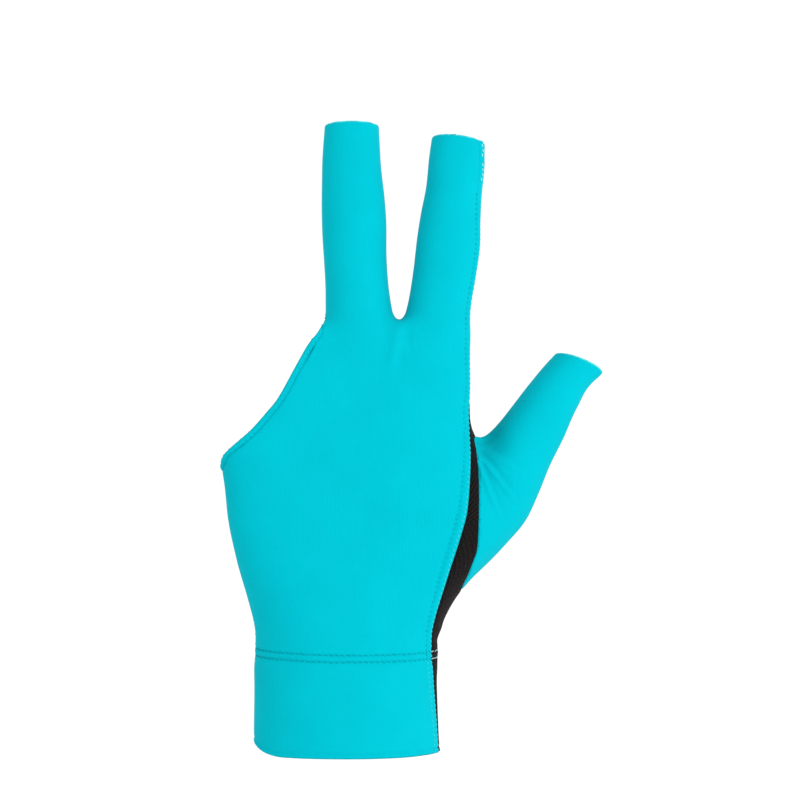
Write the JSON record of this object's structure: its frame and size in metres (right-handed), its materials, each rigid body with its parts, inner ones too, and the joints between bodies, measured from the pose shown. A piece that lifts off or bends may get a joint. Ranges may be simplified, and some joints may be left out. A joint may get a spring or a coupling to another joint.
{
  "type": "billiard glove",
  "caption": "Stretch cloth billiard glove for a left hand, with open-ended thumb, index and middle stalls, a side opening for the other fingers, a mesh palm and a folded cuff.",
  "frame": {"origin": "centre of the wrist opening at the cuff's lower edge", "axes": "+Z from the wrist to the fingertips, +X to the thumb side, +Y out of the palm, -Y out of the back of the hand"},
  "size_m": [0.1278, 0.0418, 0.2101],
  "materials": {
    "stretch_knit": "smooth matt turquoise stretch knit with a soft sheen",
    "palm_mesh": "matt black fine mesh knit"
  },
  "bodies": {
    "root": {"back_panel": "stretch_knit", "finger_fronts": "stretch_knit", "palm_panel": "palm_mesh", "thumb_stall": "stretch_knit", "cuff_back": "stretch_knit", "cuff_palm": "palm_mesh", "opening_binding": "stretch_knit"}
  },
  "joints": []
}
